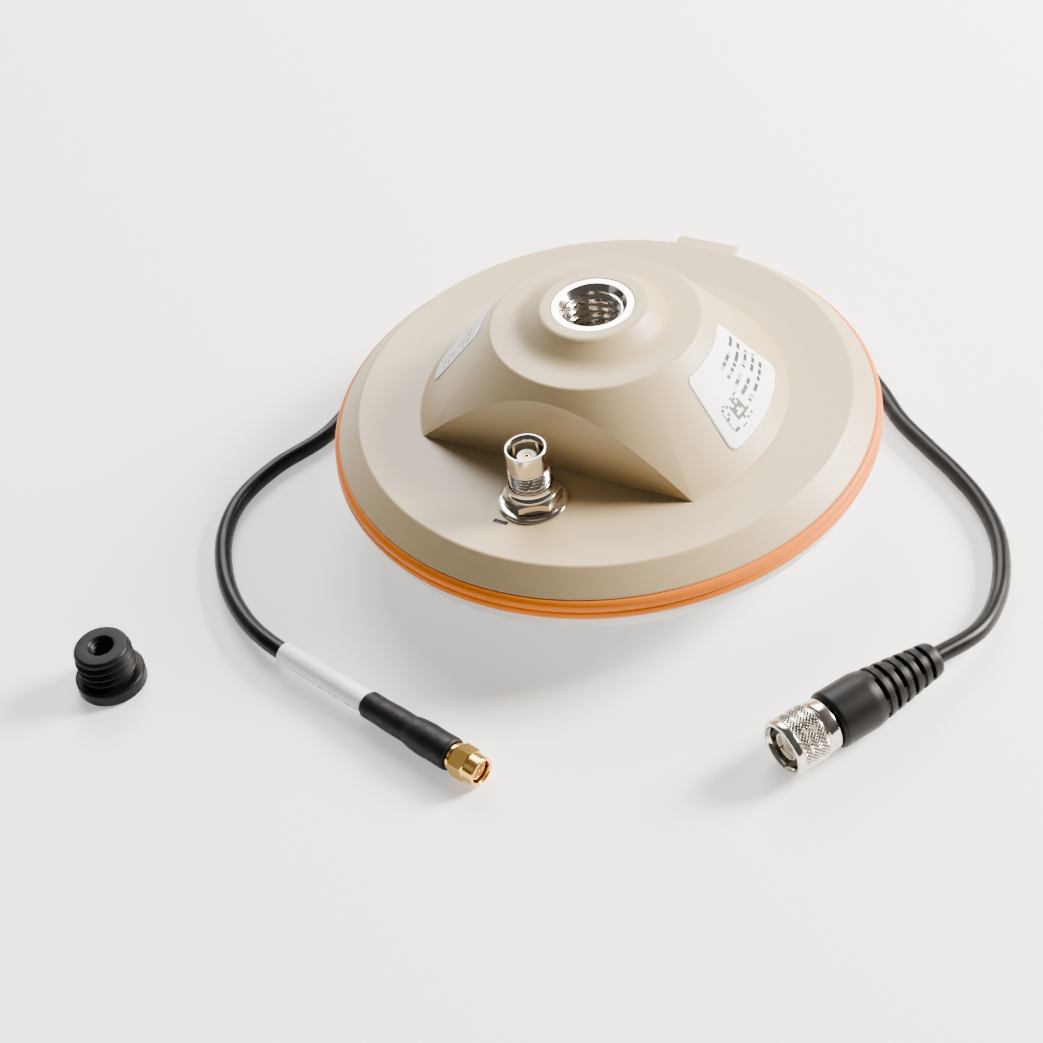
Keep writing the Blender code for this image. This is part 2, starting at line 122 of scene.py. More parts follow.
def soft_lamp(name, place, aim, size, power, tint):
    """Rectangular area lamp, turned to face aim. Metres and watts."""
    lamp = bpy.data.lights.new(name, 'AREA')
    lamp.shape = 'RECTANGLE'
    lamp.size, lamp.size_y = size
    lamp.energy = power
    lamp.color = srgb(tint)[:3]
    obj = bpy.data.objects.new(name, lamp)
    obj.location = place
    obj.rotation_euler = (Vector(place) - Vector(aim)).to_track_quat('Z', 'Y').to_euler()
    bpy.context.collection.objects.link(obj)


soft_lamp("key", (0.92, 0.8, 0.66), (0.0, 0.0, 0.02), (0.5, 0.5), 125.0, "FFF5E8")
soft_lamp("back", (-0.62, 0.98, 1.1), (0.0, 0.0, 0.02), (1.0, 0.8), 46.0, "FFFDFA")
soft_lamp("fill", (-0.9, -0.7, 0.8), (0.0, 0.0, 0.0), (0.7, 0.6), 0.6, "F4F7FF")
# A dim room that darkens towards the floor, for the metal to reflect.
world = bpy.data.worlds.new("room")
world.use_nodes = True
bpy.context.scene.world = world
sky = world.node_tree.nodes["Background"]
sky.inputs["Strength"].default_value = 0.12
seen = add(world.node_tree, "ShaderNodeTexCoord")
height = add(world.node_tree, "ShaderNodeSeparateXYZ", {0: seen.outputs["Generated"]})
shade = add(world.node_tree, "ShaderNodeMapRange",
            {0: height.outputs["Z"], 1: -0.1, 2: 0.7, 3: 0.35, 4: 1.0})
grey = add(world.node_tree, "ShaderNodeCombineColor", {n: shade.outputs[0] for n in range(3)})
world.node_tree.links.new(grey.outputs[0], sky.inputs["Color"])

# ---------------------------------------------------------------- lead cable
# Coaxial cable, 5 mm over a black PVC jacket. It runs out of the moulded boot of the threaded plug,
# lies on the table round the far side of the antenna and ends in the heat-shrink of the gold plug.
THREAD_PLUG, THREAD_PLUG_BACK = Vector((83.8, -84.0, 7.8)), Vector((0.518, 0.8554, 0.0)).normalized()
GOLD_PLUG, GOLD_PLUG_BACK = Vector((16.3, -114.5, 4.8)), Vector((-0.968, 0.251, 0.0)).normalized()
IN_BOOT, PAST_BOOT = 28.0, 48.0  # distances back from the mouth of the threaded plug
IN_SLEEVE, PAST_MARKER = 19.0, 71.5  # and from the mouth of the gold plug
lead_route = [
    (115.8, -28.4, 5.6), (116.5, -14.2, 3.3), (114.2, -2.0, 2.6), (109.4, 9.7, 2.6),
    (101.4, 20.4, 2.6), (91.7, 29.2, 2.6), (81.2, 37.0, 2.6), (70.8, 45.0, 2.6),
    (60.5, 56.0, 2.6), (47.0, 68.5, 2.6), (30.0, 78.5, 2.6), (10.0, 84.0, 2.6),
    (-12.0, 84.5, 2.6), (-34.0, 78.0, 2.6), (-53.5, 66.5, 2.6), (-69.5, 50.0, 2.6),
    (-80.0, 30.5, 2.6), (-85.0, 8.0, 2.6), (-87.0, -14.5, 2.6), (-94.5, -32.0, 2.6),
    (-97.0, -47.5, 2.6), (-94.1, -60.4, 2.6), (-87.5, -72.0, 2.6), (-79.0, -81.6, 2.9),
    (-68.5, -89.6, 3.7), (-60.0, -94.0, 4.5),
]


def eased_line(points, per):
    """Centripetal spline through the points, per steps from one to the next."""
    pts = [Vector(p) for p in points]
    pts = [2 * pts[0] - pts[1]] + pts + [2 * pts[-1] - pts[-2]]
    out = []
    for i in range(1, len(pts) - 2):
        p = pts[i - 1:i + 3]
        t = [0.0]
        for a, b in zip(p, p[1:]):
            t.append(t[-1] + (b - a).length ** 0.5)
        for s in range(per):
            u = t[1] + (t[2] - t[1]) * s / per
            a1 = p[0].lerp(p[1], (u - t[0]) / (t[1] - t[0]))
            a2 = p[1].lerp(p[2], (u - t[1]) / (t[2] - t[1]))
            a3 = p[2].lerp(p[3], (u - t[2]) / (t[3] - t[2]))
            b1 = a1.lerp(a2, (u - t[0]) / (t[2] - t[0]))
            b2 = a2.lerp(a3, (u - t[1]) / (t[3] - t[1]))
            out.append(b1.lerp(b2, (u - t[1]) / (t[2] - t[1])))
    out.append(pts[-2])
    return out


lead_line = [THREAD_PLUG + THREAD_PLUG_BACK * IN_BOOT]
lead_line += eased_line([THREAD_PLUG + THREAD_PLUG_BACK * PAST_BOOT] + lead_route
                        + [GOLD_PLUG + GOLD_PLUG_BACK * PAST_MARKER], 8)
lead_line += [GOLD_PLUG + GOLD_PLUG_BACK * IN_SLEEVE]
jacket = bpy.data.curves.new("lead_jacket", 'CURVE')
jacket.dimensions = '3D'
run = jacket.splines.new('POLY')
run.points.add(len(lead_line) - 1)
for point, co in zip(run.points, lead_line):
    point.co = (co.x * MM, co.y * MM, co.z * MM, 1.0)
run.use_smooth = True
jacket.bevel_depth = 2.5 * MM
jacket.bevel_resolution = 6
jacket.use_fill_caps = True
lead = bpy.data.objects.new("lead_jacket", jacket)
bpy.context.collection.objects.link(lead)

# Plasticised PVC, extruded: deep black, a soft gloss that wanders over 5 mm, and a fine unevenness
# from the die, drawn at 0.7 mm so that it shows.
pvc, tree, shader = new_finish("extruded_black_pvc", {
    "IOR": 1.53, "Base Color": srgb("08080A"), "Specular IOR Level": 0.12})
where = add(tree, "ShaderNodeTexCoord")
blotch = add(tree, "ShaderNodeTexNoise", {"Vector": where.outputs["Object"], "Scale": 220.0, "Detail": 3.0})
gloss = add(tree, "ShaderNodeMapRange", {0: blotch.outputs[0], 1: 0.3, 2: 0.7, 3: 0.28, 4: 0.38})
tree.links.new(gloss.outputs[0], shader.inputs["Roughness"])
grain = add(tree, "ShaderNodeTexNoise", {"Vector": where.outputs["Object"], "Scale": 1400.0, "Detail": 2.0})
bump = add(tree, "ShaderNodeBump", {"Height": grain.outputs[0], "Strength": 0.12, "Distance": 0.0001})
tree.links.new(bump.outputs[0], shader.inputs["Normal"])
jacket.materials.append(pvc)
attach(lead, "lead")
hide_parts("lead_cable")

# ---------------------------------------------------------------- dome
# Radome of grey-white ABS, vacuum formed to a shallow dome with a small flat at its apex.
# It is glued into the base; only a thin rim of it shows below the orange ring.


def eased(profile, steps=5):
    """Rounds each corner of an outline of (r, z, rounding) with a short smooth arc."""
    out = []
    n = len(profile)
    for i, item in enumerate(profile):
        r, z = item[0], item[1]
        size = item[2] if len(item) > 2 else 0.0
        tag = item[3] if len(item) > 3 else 0
        if size <= 0.0:
            out.append((r, z, tag))
            continue
        here = Vector((r, z))
        before = Vector(profile[i - 1][:2]) - here
        after = Vector(profile[(i + 1) % n][:2]) - here
        a = here + before.normalized() * min(size, before.length * 0.48)
        b = here + after.normalized() * min(size, after.length * 0.48)
        for k in range(steps + 1):
            t = k / steps
            p = a * (1 - t) ** 2 + here * 2 * t * (1 - t) + b * t ** 2
            out.append((p.x, p.y, tag))
    return out


def turned(name, profile, sides, step=0.12, steps=5):
    """Turns a closed outline about Z. An edge between two tagged points is divided finely
    and marked with the tag, 1 or -1, for a thread or a knurl to be cut there."""
    outline = eased(profile, steps)
    dense = []
    for i, (r, z, tag) in enumerate(outline):
        r2, z2, tag2 = outline[(i + 1) % len(outline)]
        dense.append((r, z, tag))
        if tag and tag2:
            pieces = max(1, int(math.hypot(r2 - r, z2 - z) / step))
            for k in range(1, pieces):
                dense.append((r + (r2 - r) * k / pieces, z + (z2 - z) * k / pieces, tag))
    bm = bmesh.new()
    mark = bm.verts.layers.float.new("cut")
    uv = bm.loops.layers.uv.new("UVMap")
    rings, travel = [], [0.0]
    for i, (r, z, tag) in enumerate(dense):
        ring = []
        for s in range(1 if r < 1e-6 else sides):
            a = 2 * math.pi * s / sides
            v = bm.verts.new((r * math.cos(a) * MM, r * math.sin(a) * MM, z * MM))
            v[mark] = float(tag)
            ring.append(v)
        rings.append(ring)
        r2, z2 = dense[(i + 1) % len(dense)][:2]
        travel.append(travel[-1] + math.hypot(r2 - r, z2 - z))
    for i, lower in enumerate(rings):
        upper = rings[(i + 1) % len(rings)]
        if len(lower) == 1 and len(upper) == 1:
            continue
        for s in range(sides):
            t = (s + 1) % sides
            if len(lower) == 1:
                corners = [(lower[0], s + 0.5, 0), (upper[s], s, 1), (upper[t], s + 1, 1)]
            elif len(upper) == 1:
                corners = [(lower[s], s, 0), (upper[0], s + 0.5, 1), (lower[t], s + 1, 0)]
            else:
                corners = [(lower[s], s, 0), (upper[s], s, 1), (upper[t], s + 1, 1), (lower[t], s + 1, 0)]
            face = bm.faces.new([c[0] for c in corners])
            face.smooth = True
            for loop, (v, u, k) in zip(face.loops, corners):
                loop[uv].uv = (u / sides, travel[i + k])
    bmesh.ops.recalc_face_normals(bm, faces=bm.faces[:])
    return as_object(bm, name)


def set_down(obj, place=(0, 0, 0), backward=None):
    """Applies what is on the piece, then puts its mesh in place; Z of the mesh goes to backward."""
    bpy.context.view_layer.update()
    graph = bpy.context.evaluated_depsgraph_get()
    plain = bpy.data.meshes.new_from_object(obj.evaluated_get(graph), depsgraph=graph)
    obj.modifiers.clear()
    obj.data = plain
    move = Matrix.Translation(Vector(place) * MM)
    if backward is not None:
        w = Vector(backward).normalized()
        u = Vector((0, 0, 1)).cross(w).normalized()
        move = move @ Matrix((u, w.cross(u), w)).transposed().to_4x4()
    plain.transform(move)
    plain.set_sharp_from_angle(angle=math.radians(32))
    for face in plain.polygons:
        face.use_smooth = True
    return obj


def fit(obj, finish, body, *nodes):
    """Gives a piece its finish, its body and the solids that it stands for."""
    obj.data.materials.clear()
    obj.data.materials.append(finish)
    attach(obj, body)
    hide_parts(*nodes)
    return obj


dome_outline = [(0.0, 0.0)]
for i in range(25):
    a = math.radians(90.0 * i / 24.0)
    dome_outline.append((13.0 + 62.2 * math.sin(a), 19.9 * (1.0 - math.cos(a))))
dome_outline += [(71.5, 19.9), (71.5, 24.0, 0.4), (69.4, 24.0, 0.4)]
for i in range(16):
    a = math.radians(84.0 * (15 - i) / 15.0)
    dome_outline.append((10.6 + 59.2 * math.sin(a), 2.4 + 18.3 * (1.0 - math.cos(a))))
dome_outline.append((0.0, 2.4))
dome = set_down(turned("dome_shell", dome_outline, 180))

# ABS with a fine etched grain: nearly white, a broad dull sheen. The tone drifts over 70 mm, and the
# grain, really 0.1 mm, is drawn at 0.45 mm so that it shows.
abs_white, tree, shader = new_finish("etched_white_abs", {"IOR": 1.54, "Roughness": 0.42})
where = add(tree, "ShaderNodeTexCoord")
drift = add(tree, "ShaderNodeTexNoise", {"Vector": where.outputs["Object"], "Scale": 14.0, "Detail": 3.0})
tone = add(tree, "ShaderNodeMix", {0: drift.outputs[0], 6: srgb("C6C4BE"), 7: srgb("D0CEC9")},
           data_type='RGBA')
tree.links.new(tone.outputs[2], shader.inputs["Base Color"])
grain = add(tree, "ShaderNodeTexNoise", {"Vector": where.outputs["Object"], "Scale": 2200.0, "Detail": 2.0})
bump = add(tree, "ShaderNodeBump", {"Height": grain.outputs[0], "Strength": 0.2, "Distance": 0.0001})
tree.links.new(bump.outputs[0], shader.inputs["Normal"])
fit(dome, abs_white, "antenna", "radome")

# ---------------------------------------------------------------- base
# Moulded base of warm beige PC/ABS: a chamfered rim, a shallow disc, and a conical boss whose jack
# side is cut flat. The tool was spark eroded, which leaves a very fine even grain.
base_outline = [
    (0.0, 22.0), (73.9, 22.0), (73.9, 26.22), (74.5, 26.22), (74.5, 26.6, 0.35), (68.3, 32.35, 0.7),
    (56.0, 30.45, 2.0), (51.0, 30.4, 0.5), (28.5, 56.95, 0.6), (20.9, 57.05, 3.6), (16.2, 60.6, 2.6),
    (14.5, 62.2, 0.9), (0.0, 62.2),
]
base = turned("base_shell", base_outline, 192, steps=7)


def block(name, low, high, ease=0.0):
    """Box between two corners, its edges rounded by ease."""
    bm = bmesh.new()
    bmesh.ops.create_cube(bm, size=1.0)
    for v in bm.verts:
        for k in range(3):
            v.co[k] = (low[k] if v.co[k] < 0 else high[k]) * MM
    if ease:
        bmesh.ops.bevel(bm, geom=bm.edges[:], offset=ease * MM, segments=3, profile=0.5, affect='EDGES')
    return as_object(bm, name)


def carve(target, tool, operation='DIFFERENCE'):
    """Applies one boolean and throws the tool away."""
    cut = target.modifiers.new("cut", 'BOOLEAN')
    cut.operation = operation
    cut.solver = 'EXACT'
    cut.object = tool
    bpy.context.view_layer.update()
    graph = bpy.context.evaluated_depsgraph_get()
    plain = bpy.data.meshes.new_from_object(target.evaluated_get(graph), depsgraph=graph)
    target.modifiers.clear()
    target.data = plain
    bpy.data.objects.remove(tool, do_unlink=True)


flat_side = block("flat_side", (-60, -70, 30.37), (60, -31.6, 80))
carve(flat_side, turned("flat_reach", [(0, 29), (52.3, 29), (52.3, 90), (0, 90)], 192), 'INTERSECT')
carve(base, flat_side)
hollow = turned("hollow", [(0, 12), (71.8, 12), (71.8, 24.6), (68.4, 27.75), (49.6, 27.75), (27.2, 54.4),
                           (16.2, 54.4), (16.2, 41.4), (0, 41.4)], 96)
carve(hollow, block("wall", (-60, -60, 27.8), (60, -29.0, 80)))
carve(base, hollow)
carve(base, turned("insert_bore", [(0, 43.8), (11.45, 43.8), (11.45, 70), (0, 70)], 96))
jack_hole = turned("jack_hole", [(0, 20), (5.9, 20), (5.9, 40), (0, 40)], 48)
jack_hole.data.transform(Matrix.Translation((0, -0.0447, 0)))
carve(base, jack_hole)
carve(base, block("mark_slot", (-6.6, -55.75, 29.4), (-2.6, -54.35, 33.0)))
carve(base, block("rim_tab", (-9.4, 66.0, 26.35), (9.4, 76.6, 28.45), 0.6), 'UNION')
# The edges of the flat cut are eased by 0.35 mm.
bm = bmesh.new()
bm.from_mesh(base.data)
flat_edges = [e for e in bm.edges if all(abs(v.co.y + 0.0316) < 1e-6 and v.co.z > 0.0305 for v in e.verts)
              and e.is_manifold and e.calc_face_angle(0.0) > math.radians(20)]
bmesh.ops.bevel(bm, geom=flat_edges, offset=0.35 * MM, segments=3, profile=0.5, affect='EDGES',
                clamp_overlap=True)
bmesh.ops.remove_doubles(bm, verts=bm.verts[:], dist=1e-7)
bm.to_mesh(base.data)
bm.free()
set_down(base)

# PC/ABS from a spark-eroded tool: warm beige with a broad dull sheen. The tone drifts over 110 mm.
beige, tree, shader = new_finish("spark_eroded_beige_abs", {"IOR": 1.56})
where = add(tree, "ShaderNodeTexCoord")
drift = add(tree, "ShaderNodeTexNoise", {"Vector": where.outputs["Object"], "Scale": 9.0, "Detail": 4.0})
tone = add(tree, "ShaderNodeMix", {0: drift.outputs[0], 6: srgb("A8936C"), 7: srgb("B09B75")},
           data_type='RGBA')
tree.links.new(tone.outputs[2], shader.inputs["Base Color"])
# The real grain is about 0.08 mm; it is drawn at 0.5 mm so that it shows.
grain = add(tree, "ShaderNodeTexNoise", {"Vector": where.outputs["Object"], "Scale": 1900.0, "Detail": 3.0})
gloss = add(tree, "ShaderNodeMapRange", {0: grain.outputs[0], 1: 0.3, 2: 0.7, 3: 0.38, 4: 0.52})
tree.links.new(gloss.outputs[0], shader.inputs["Roughness"])
bump = add(tree, "ShaderNodeBump", {"Height": grain.outputs[0], "Strength": 0.25, "Distance": 0.00012})
tree.links.new(bump.outputs[0], shader.inputs["Normal"])
fit(base, beige, "antenna", "base_housing")

# ---------------------------------------------------------------- ring round the joint
# Orange silicone ring of two soft beads with a fine line between them, stretched over the joint
# of base and dome.
ring = set_down(turned("orange_ring", [
    (74.15, 20.15), (75.3, 20.15, 0.3), (76.5, 21.3, 1.0), (76.25, 22.85, 0.5), (75.8, 23.15, 0.2),
    (76.2, 23.4, 0.3), (76.2, 25.2, 0.9), (75.1, 26.1, 0.3), (74.15, 26.1)], 240))
# Silicone rubber, moulded: strong orange, satin all over, the tone drifting over 25 mm.
orange, tree, shader = new_finish("moulded_orange_silicone", {"IOR": 1.41, "Specular IOR Level": 0.12})
where = add(tree, "ShaderNodeTexCoord")
drift = add(tree, "ShaderNodeTexNoise", {"Vector": where.outputs["Object"], "Scale": 40.0, "Detail": 2.0})
tone = add(tree, "ShaderNodeMix", {0: drift.outputs[0], 6: srgb("C86600"), 7: srgb("D27000")},
           data_type='RGBA')
tree.links.new(tone.outputs[2], shader.inputs["Base Color"])
gloss = add(tree, "ShaderNodeMapRange", {0: drift.outputs[0], 1: 0.3, 2: 0.7, 3: 0.36, 4: 0.46})
tree.links.new(gloss.outputs[0], shader.inputs["Roughness"])
fit(ring, orange, "antenna", "rim_band")

# ---------------------------------------------------------------- pole thread insert
# Brass insert with bright nickel plate, moulded into the boss. The mouth is countersunk and the
# 5/8 inch thread, 11 turns to the inch, goes down 16 mm to a blind end.


def chain(tree, known, rows):
    """Adds one node a row and keeps its first output in known, under the name that opens the row.
    Then come the kind of node, or the operation of a maths node, and its inputs in order; a word
    among the inputs stands for an earlier result."""
    for label, kind, *terms in rows:
        wires = {n: known[term] if isinstance(term, str) else term for n, term in enumerate(terms)}
        if kind.isupper():
            made = add(tree, "ShaderNodeMath", wires, operation=kind)
        else:
            made = add(tree, kind, wires)
        known[label] = made.outputs[0]


def push_tree(name, inputs, rows):
    """Node tree that moves points out from the axis by what its rows work out as push, from the
    place, the turn about the axis, the mark on a point and the inputs. It then sets the finish."""
    made = bpy.data.node_groups.new(name, 'GeometryNodeTree')
    face = made.interface
    face.new_socket("Geometry", in_out='INPUT', socket_type='NodeSocketGeometry')
    for label, value in inputs.items():
        face.new_socket(label, in_out='INPUT', socket_type='NodeSocketFloat').default_value = value
    face.new_socket("Finish", in_out='INPUT', socket_type='NodeSocketMaterial')
    face.new_socket("Geometry", in_out='OUTPUT', socket_type='NodeSocketGeometry')
    given = add(made, "NodeGroupInput")
    result = add(made, "NodeGroupOutput")
    spot = add(made, "GeometryNodeInputPosition")
    split = add(made, "ShaderNodeSeparateXYZ", {0: spot.outputs[0]})
    marked = add(made, "GeometryNodeInputNamedAttribute", {"Name": "cut"}, data_type='FLOAT')
    known = {label: given.outputs[label] for label in inputs}
    known.update(x=split.outputs[0], y=split.outputs[1], z=split.outputs[2], mark=marked.outputs[0])
    chain(made, known, [("angle", 'ARCTAN2', "y", "x"), ("turn", 'DIVIDE', "angle", 2 * math.pi)])
    chain(made, known, rows)
    chain(made, known, [("flat", "ShaderNodeCombineXYZ", "x", "y", 0.0)])
    outward = add(made, "ShaderNodeVectorMath", {0: known["flat"]}, operation='NORMALIZE')
    shift = add(made, "ShaderNodeVectorMath", {0: outward.outputs[0], 3: known["push"]}, operation='SCALE')
    moved = add(made, "GeometryNodeSetPosition", {"Geometry": given.outputs[0], "Offset": shift.outputs[0]})
    real = add(made, "GeometryNodeRealizeInstances", {0: moved.outputs[0]})
    dressed = add(made, "GeometryNodeSetMaterial",
                  {0: real.outputs[0], "Material": given.outputs["Finish"]})
    made.links.new(dressed.outputs[0], result.inputs[0])
    return made


# A ridge with sloped flanks that climbs one pitch a turn. It runs in and out over 0.7 mm at both
# ends, and is cut only where the mark of a point and Side have the same sign.
helical = push_tree("helical_thread", {
    "Pitch": 2.309 * MM, "Depth": 1.2 * MM, "From": 0.0, "To": 10.0 * MM, "Side": 1.0}, [
    ("rise", 'DIVIDE', "z", "Pitch"),
    ("climb", 'SUBTRACT', "rise", "turn"),
    ("phase", 'FRACT', "climb"),
    ("swing", 'MULTIPLY_ADD', "phase", 2.0, -1.0),
    ("slope", 'ABSOLUTE', "swing"),
    ("flank", "ShaderNodeMapRange", "slope", 0.12, 0.88, 0.0, 1.0),
    ("from start", 'SUBTRACT', "z", "From"),
    ("to end", 'SUBTRACT', "To", "z"),
    ("nearer", 'MINIMUM', "from start", "to end"),
    ("run in", 'MULTIPLY', "nearer", 1400.0),
    ("inside", "ShaderNodeClamp", "run in"),
    ("ridge", 'MULTIPLY', "flank", "inside"),
    ("full", 'MULTIPLY', "ridge", "Depth"),
    ("agrees", 'MULTIPLY', "mark", "Side"),
    ("chosen", 'MAXIMUM', "agrees", 0.0),
    ("push", 'MULTIPLY', "full", "chosen"),
])


def work(obj, tree, **values):
    """Puts a node tree on a piece and fills its inputs by their identifiers."""
    tool = obj.modifiers.new(tree.name, 'NODES')
    tool.node_group = tree
    for item in tree.interface.items_tree:
        if item.item_type == 'SOCKET' and item.in_out == 'INPUT' and item.name in values:
            tool[item.identifier] = values[item.name]


# Bright nickel over turned brass: mirror-like with a warm cast, a gloss that clouds over 3 mm, and
# the rings of the tool, 0.11 mm apart. V of the UV map is in millimetres.
nickel, tree, shader = new_finish("bright_nickel_plate", {"Base Color": srgb("D8D0C4"), "Metallic": 1.0})
where = add(tree, "ShaderNodeTexCoord")
rings = add(tree, "ShaderNodeMapping", {0: where.outputs["UV"], 3: (1.0, 9.0, 1.0)})
tooling = add(tree, "ShaderNodeTexNoise", {"Vector": rings.outputs[0], "Scale": 1.0, "Detail": 2.0})
cloud = add(tree, "ShaderNodeTexNoise", {"Vector": where.outputs["Object"], "Scale": 300.0, "Detail": 3.0})
gloss = add(tree, "ShaderNodeMapRange", {0: cloud.outputs[0], 1: 0.3, 2: 0.7, 3: 0.1, 4: 0.17})
tree.links.new(gloss.outputs[0], shader.inputs["Roughness"])
bump = add(tree, "ShaderNodeBump", {"Height": tooling.outputs[0], "Strength": 0.03, "Distance": 0.00002})
tree.links.new(bump.outputs[0], shader.inputs["Normal"])

insert = turned("pole_insert", [
    (0.0, 44.0), (11.3, 44.0), (11.3, 62.1, 0.25), (9.2, 62.1, 0.15), (7.95, 60.4, 0.1), (7.9, 60.2, 0, 1),
    (7.9, 46.4, 0, 1), (6.75, 45.6), (0.0, 45.6)], 144)
work(insert, helical, Pitch=2.309 * MM, Depth=-1.2 * MM, From=46.0 * MM, To=60.5 * MM, Finish=nickel)
fit(set_down(insert), nickel, "antenna", "thread_insert")

# ---------------------------------------------------------------- coaxial jack
# Bulkhead jack with a 7/16-28 thread: a nickelled barrel through the base, a washer and a hexagon
# nut outside, a rubber ring and its flange inside, white PTFE and a gold contact in the middle.
JACK = (0.0, -44.7, 0.0)
barrel = turned("jack_barrel", [
    (1.3, 24.6), (7.6, 24.6, 0.3), (7.6, 26.7, 0.3), (5.0, 26.9), (5.0, 30.9), (5.5, 31.4),
    (5.5, 37.6, 0.2), (4.98, 37.9, 0, 1), (4.98, 42.4, 0, 1), (5.0, 42.6), (5.5, 43.1, 0.25),
    (5.5, 49.2, 0.3), (4.9, 49.2, 0.2), (4.15, 47.9, 0.4), (4.05, 40.0), (2.7, 40.0), (2.7, 33.0),
    (1.3, 33.0)], 144, step=0.1)
work(barrel, helical, Pitch=0.98 * MM, Depth=0.52 * MM, From=37.9 * MM, To=42.4 * MM, Finish=nickel)
fit(set_down(barrel, JACK), nickel, "antenna", "jack_body")
seal = set_down(turned("jack_ring", [
    (6.1, 26.95, 0.2), (7.9, 26.95, 0.2), (7.9, 27.55, 0.2), (6.1, 27.55, 0.2)], 64), JACK)
washer = set_down(turned("jack_washer_disc", [
    (5.75, 30.45), (9.3, 30.45, 0.2), (9.5, 30.85, 0.2), (8.9, 31.3, 0.5), (7.6, 31.45, 0.3),
    (5.75, 31.45)], 96), JACK)
fit(washer, nickel, "antenna", "jack_washer")


def hexagon(name, half_flat, bore, low, high, collar):
    """Nut whose corners are turned off at both ends; a turned collar stands on its top."""
    bm = bmesh.new()
    uv = bm.loops.layers.uv.new("UVMap")
    count = 144
    rows = []
    # Off is how far a corner is turned down: it grows with the distance past the flat.
    for s in range(count):
        a = 2 * math.pi * s / count
        reach = half_flat / math.cos(((a + math.pi / 6) % (math.pi / 3)) - math.pi / 6)
        off = max(0.0, reach - half_flat) * 0.6
        spots = [(bore + 0.25, low), (half_flat * 0.97, low), (reach, low + off + 0.12)]
        spots += [(reach, high - off - 0.12), (half_flat * 0.97, high)] + collar
        spots += [(bore, collar[-1][1] - 0.3), (bore, low + 0.25)]
        rows.append([bm.verts.new((r * math.cos(a) * MM, r * math.sin(a) * MM, z * MM)) for r, z in spots])
    for s in range(count):
        here, there = rows[s], rows[(s + 1) % count]
        for k in range(len(here)):
            n = (k + 1) % len(here)
            face = bm.faces.new((here[k], there[k], there[n], here[n]))
            for loop in face.loops:
                loop[uv].uv = (s / count, loop.vert.co.z * 1000)
    bmesh.ops.recalc_face_normals(bm, faces=bm.faces[:])
    return as_object(bm, name)


jack_collar = [(6.75, 34.85), (6.75, 35.2), (6.6, 35.5), (6.2, 36.0), (5.95, 36.6), (5.85, 37.3)]
jack_hex = hexagon("jack_hex_nut", 7.0, 5.7, 31.6, 34.8, jack_collar)
fit(set_down(jack_hex, JACK), nickel, "antenna", "jack_nut")

# PTFE, machined: waxy white with patches of 2 mm, and light sinks a little way in.
ptfe, tree, shader = new_finish("machined_white_ptfe", {
    "IOR": 1.38, "Roughness": 0.38, "Subsurface Weight": 0.2,
    "Subsurface Radius": (0.001, 0.001, 0.0009)})
where = add(tree, "ShaderNodeTexCoord")
drift = add(tree, "ShaderNodeTexNoise", {"Vector": where.outputs["Object"], "Scale": 500.0, "Detail": 2.0})
tone = add(tree, "ShaderNodeMix", {0: drift.outputs[0], 6: srgb("ECE9E1"), 7: srgb("F7F5F0")},
           data_type='RGBA')
tree.links.new(tone.outputs[2], shader.inputs["Base Color"])
jack_core = turned("jack_core", [(1.15, 33.2), (2.5, 33.2), (2.5, 46.5, 0.25), (1.15, 46.5, 0.15)], 64)
fit(set_down(jack_core, JACK), ptfe, "antenna", "jack_insulator")

# Hard gold over beryllium copper: deep yellow, smooth, with a gloss that is uneven over 2.5 mm.
gold, tree, shader = new_finish("hard_gold_plate", {"Base Color": srgb("E6B65C"), "Metallic": 1.0})
where = add(tree, "ShaderNodeTexCoord")
cloud = add(tree, "ShaderNodeTexNoise", {"Vector": where.outputs["Object"], "Scale": 400.0, "Detail": 3.0})
gloss = add(tree, "ShaderNodeMapRange", {0: cloud.outputs[0], 1: 0.3, 2: 0.7, 3: 0.14, 4: 0.26})
tree.links.new(gloss.outputs[0], shader.inputs["Roughness"])
jack_pin = turned("jack_socket_pin", [
    (0.0, 22.6), (0.9, 22.6), (0.9, 46.3, 0.15), (0.5, 46.3, 0.1), (0.5, 42.0), (0.0, 42.0)], 48)
fit(set_down(jack_pin, JACK), gold, "antenna", "jack_contact")

# ---------------------------------------------------------------- labels on the cone
# Two printed polyester labels, 0.2 mm thick, stuck to the flanks of the cone. Each is a sector with
# rounded corners, a thin dark line just inside its edge, and rows of plain marks in place of any wording.
LABEL_CORNER = 2.6


